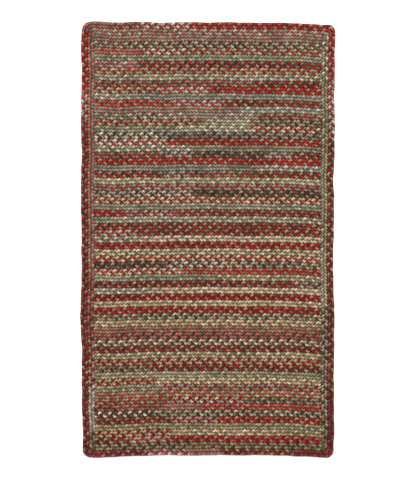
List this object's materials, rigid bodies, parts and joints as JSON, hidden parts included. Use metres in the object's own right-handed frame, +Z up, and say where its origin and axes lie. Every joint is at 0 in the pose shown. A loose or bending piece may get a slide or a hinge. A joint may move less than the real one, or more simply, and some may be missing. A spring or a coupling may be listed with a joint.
{
  "type": "braided rug",
  "caption": "Flat rectangular floor rug of braids laced edge to edge, framed by rounds of the same braid with rounded corners.",
  "frame": {"origin": "centre of the rug's footprint, on the floor it lies on", "axes": "+Z up from the floor, +Y along the rug's length towards the picture's top, +X along the straight braids towards the picture's right"},
  "size_m": [0.9074, 1.5522, 0.0105],
  "materials": {
    "field_braids": "matte space-dyed yarn braids in red, rose, sage, slate, brown and tan",
    "inner_border_braid": "matte yarn braid in sage, rose and brown",
    "outer_border_braid": "matte yarn braid in red, dark brown and sage"
  },
  "bodies": {
    "root": {"field_strip_01": "field_braids", "field_strip_02": "field_braids", "field_strip_03": "field_braids", "field_strip_04": "field_braids", "field_strip_05": "field_braids", "field_strip_06": "field_braids", "field_strip_07": "field_braids", "field_strip_08": "field_braids", "field_strip_09": "field_braids", "field_strip_10": "field_braids", "field_strip_11": "field_braids", "field_strip_12": "field_braids", "field_strip_13": "field_braids", "field_strip_14": "field_braids", "field_strip_15": "field_braids", "field_strip_16": "field_braids", "field_strip_17": "field_braids", "field_strip_18": "field_braids", "field_strip_19": "field_braids", "field_strip_20": "field_braids", "field_strip_21": "field_braids", "inner_border": "inner_border_braid", "outer_border": "outer_border_braid"}
  },
  "joints": []
}
